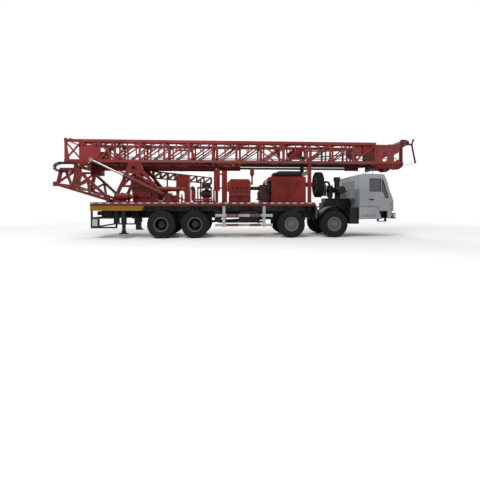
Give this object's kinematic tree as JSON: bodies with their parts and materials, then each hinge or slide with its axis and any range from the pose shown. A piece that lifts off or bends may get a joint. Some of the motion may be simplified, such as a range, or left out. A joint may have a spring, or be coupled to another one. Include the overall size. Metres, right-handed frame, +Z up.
{
  "type": "truck-mounted workover rig",
  "caption": "Workover rig on a four-axle truck: lattice mast that telescopes and tilts up over the tail, lifting cylinders, A-frame, drawworks, deck engine, gearbox and cab.",
  "frame": {"origin": "middle of the whole box, at the ground under the tyres", "axes": "+X towards the cab and the crown, +Y to the vehicle's left, +Z up"},
  "size_m": [15.7999, 2.5, 4.4],
  "materials": {
    "chassis_black": "satin",
    "axle_black": "matte",
    "rig_red": "gloss",
    "drum_red": "satin",
    "engine_paint": "satin",
    "box_yellow": "gloss",
    "guard_white": "gloss",
    "cab_white": "gloss",
    "cab_glass": "clear",
    "cab_trim": "matte",
    "tyre_rubber": "matte",
    "rod_chrome": "polished"
  },
  "bodies": {
    "root": {"chassis_frame": "chassis_black", "deck": "rig_red", "side_boxes": "box_yellow", "rear_bumper": "chassis_black", "outriggers": "chassis_black", "side_guards": "guard_white", "tanks": "chassis_black", "axles": "axle_black", "mudguards": "chassis_black", "base_frame": "rig_red", "a_frame": "rig_red", "front_support": "rig_red", "spare_wheel": "tyre_rubber", "drawworks_frame": "rig_red", "service_winch": "rig_red", "drive_case": "rig_red", "hydraulic_tank": "rig_red", "platform": "rig_red", "pump_unit": "rig_red", "column": "rig_red", "gearbox": "rig_red", "deck_engine": "engine_paint", "enclosure": "rig_red", "silencers": "engine_paint", "truck_engine": "engine_paint", "cab_shell": "cab_white", "cab_glass": "cab_glass", "cab_interior": "cab_trim", "front_bumper": "chassis_black"},
    "outrigger_leg_right": {"outrigger_leg_right": "axle_black"},
    "outrigger_leg_left": {"outrigger_leg_left": "axle_black"},
    "drum": {"drawworks_drum": "drum_red"},
    "enclosure_door_rear": {"enclosure_door_rear": "rig_red"},
    "enclosure_door_front": {"enclosure_door_front": "rig_red"},
    "cab_door_right": {"cab_door_right": "cab_white"},
    "cab_door_left": {"cab_door_left": "cab_white"},
    "mast_lower": {"mast_sides": "rig_red", "mast_floor": "rig_red", "ext_barrel": "rig_red"},
    "mast_upper": {"upper_sides": "rig_red", "upper_floor": "rig_red", "crown": "rig_red", "ext_rod": "rod_chrome", "travelling_block": "rig_red"},
    "knuckle_1_right": {"knuckle_1_right": "axle_black"},
    "knuckle_1_left": {"knuckle_1_left": "axle_black"},
    "knuckle_2_right": {"knuckle_2_right": "axle_black"},
    "knuckle_2_left": {"knuckle_2_left": "axle_black"},
    "wheel_1_right": {"wheel_1_right": "tyre_rubber"},
    "wheel_1_left": {"wheel_1_left": "tyre_rubber"},
    "wheel_2_right": {"wheel_2_right": "tyre_rubber"},
    "wheel_2_left": {"wheel_2_left": "tyre_rubber"},
    "wheel_3_right": {"wheel_3_right": "tyre_rubber"},
    "wheel_3_left": {"wheel_3_left": "tyre_rubber"},
    "wheel_4_right": {"wheel_4_right": "tyre_rubber"},
    "wheel_4_left": {"wheel_4_left": "tyre_rubber"},
    "lift_barrel_right": {"lift_barrel_right": "rig_red"},
    "lift_rod_right": {"lift_rod_right": "rod_chrome"},
    "lift_barrel_left": {"lift_barrel_left": "rig_red"},
    "lift_rod_left": {"lift_rod_left": "rod_chrome"}
  },
  "joints": [
    {"name": "steer_1_right", "type": "hinge", "parent": "root", "child": "knuckle_1_right", "pos_m": [3.62, -0.9, 0.56], "axis": [0, 0, 1], "range_deg": [-35, 35]},
    {"name": "steer_1_left", "type": "hinge", "parent": "root", "child": "knuckle_1_left", "pos_m": [3.62, 0.9, 0.56], "axis": [0, 0, 1], "range_deg": [-35, 35]},
    {"name": "steer_2_right", "type": "hinge", "parent": "root", "child": "knuckle_2_right", "pos_m": [1.82, -0.9, 0.56], "axis": [0, 0, 1], "range_deg": [-25, 25]},
    {"name": "steer_2_left", "type": "hinge", "parent": "root", "child": "knuckle_2_left", "pos_m": [1.82, 0.9, 0.56], "axis": [0, 0, 1], "range_deg": [-25, 25]},
    {"name": "spin_1_right", "type": "hinge", "parent": "knuckle_1_right", "child": "wheel_1_right", "pos_m": [3.62, -1.08, 0.56], "axis": [0, 1, 0], "continuous": true},
    {"name": "spin_1_left", "type": "hinge", "parent": "knuckle_1_left", "child": "wheel_1_left", "pos_m": [3.62, 1.08, 0.56], "axis": [0, 1, 0], "continuous": true},
    {"name": "spin_2_right", "type": "hinge", "parent": "knuckle_2_right", "child": "wheel_2_right", "pos_m": [1.82, -1.08, 0.56], "axis": [0, 1, 0], "continuous": true},
    {"name": "spin_2_left", "type": "hinge", "parent": "knuckle_2_left", "child": "wheel_2_left", "pos_m": [1.82, 1.08, 0.56], "axis": [0, 1, 0], "continuous": true},
    {"name": "spin_3_right", "type": "hinge", "parent": "root", "child": "wheel_3_right", "pos_m": [-2.13, -0.92, 0.56], "axis": [0, 1, 0], "continuous": true},
    {"name": "spin_3_left", "type": "hinge", "parent": "root", "child": "wheel_3_left", "pos_m": [-2.13, 0.92, 0.56], "axis": [0, 1, 0], "continuous": true},
    {"name": "spin_4_right", "type": "hinge", "parent": "root", "child": "wheel_4_right", "pos_m": [-3.48, -0.92, 0.56], "axis": [0, 1, 0], "continuous": true},
    {"name": "spin_4_left", "type": "hinge", "parent": "root", "child": "wheel_4_left", "pos_m": [-3.48, 0.92, 0.56], "axis": [0, 1, 0], "continuous": true},
    {"name": "mast_raise", "type": "hinge", "parent": "root", "child": "mast_lower", "pos_m": [-6.95, 0, 2.93], "axis": [0, -1, 0], "range_deg": [0, 90]},
    {"name": "mast_extend", "type": "slide", "parent": "mast_lower", "child": "mast_upper", "axis": [1, 0, 0], "range_m": [0, 6]},
    {"name": "lift_swing_right", "type": "hinge", "parent": "root", "child": "lift_barrel_right", "pos_m": [-3.29, -0.84, 1.7], "axis": [0, -1, 0], "range_deg": [-0.5, 2]},
    {"name": "lift_stroke_right", "type": "slide", "parent": "lift_barrel_right", "child": "lift_rod_right", "axis": [-0.899, 0, 0.4378], "range_m": [-0.002, 0.92]},
    {"name": "lift_swing_left", "type": "hinge", "parent": "root", "child": "lift_barrel_left", "pos_m": [-3.29, 0.84, 1.7], "axis": [0, -1, 0], "range_deg": [-0.5, 2]},
    {"name": "lift_stroke_left", "type": "slide", "parent": "lift_barrel_left", "child": "lift_rod_left", "axis": [-0.899, 0, 0.4378], "range_m": [-0.002, 0.92]},
    {"name": "drum_turn", "type": "hinge", "parent": "root", "child": "drum", "pos_m": [-4.28, 0, 2], "axis": [0, 1, 0], "continuous": true},
    {"name": "outrigger_right", "type": "slide", "parent": "root", "child": "outrigger_leg_right", "axis": [0, 0, -1], "range_m": [0, 0.175]},
    {"name": "cab_door_right", "type": "hinge", "parent": "root", "child": "cab_door_right", "pos_m": [6.067, -1.22, 1.8], "axis": [0, 0, 1], "range_deg": [0, 70]},
    {"name": "outrigger_left", "type": "slide", "parent": "root", "child": "outrigger_leg_left", "axis": [0, 0, -1], "range_m": [0, 0.175]},
    {"name": "cab_door_left", "type": "hinge", "parent": "root", "child": "cab_door_left", "pos_m": [6.067, 1.22, 1.8], "axis": [0, 0, -1], "range_deg": [0, 70]},
    {"name": "enclosure_door_rear", "type": "hinge", "parent": "root", "child": "enclosure_door_rear", "pos_m": [1.0825, -0.894, 2], "axis": [0, 0, -1], "range_deg": [0, 110]},
    {"name": "enclosure_door_front", "type": "hinge", "parent": "root", "child": "enclosure_door_front", "pos_m": [2.4375, -0.894, 2], "axis": [0, 0, 1], "range_deg": [0, 110]}
  ],
  "couplings": [
    {"joint": "steer_1_left", "follows": "steer_1_right", "ratio": 1},
    {"joint": "steer_2_right", "follows": "steer_1_right", "ratio": 0.7},
    {"joint": "steer_2_left", "follows": "steer_1_right", "ratio": 0.7},
    {"joint": "lift_swing_right", "follows": "mast_raise", "ratio": 0.013753},
    {"joint": "lift_stroke_right", "follows": "mast_raise", "m_per_rad": 0.57355},
    {"joint": "lift_swing_left", "follows": "mast_raise", "ratio": 0.013753},
    {"joint": "lift_stroke_left", "follows": "mast_raise", "m_per_rad": 0.57355}
  ]
}
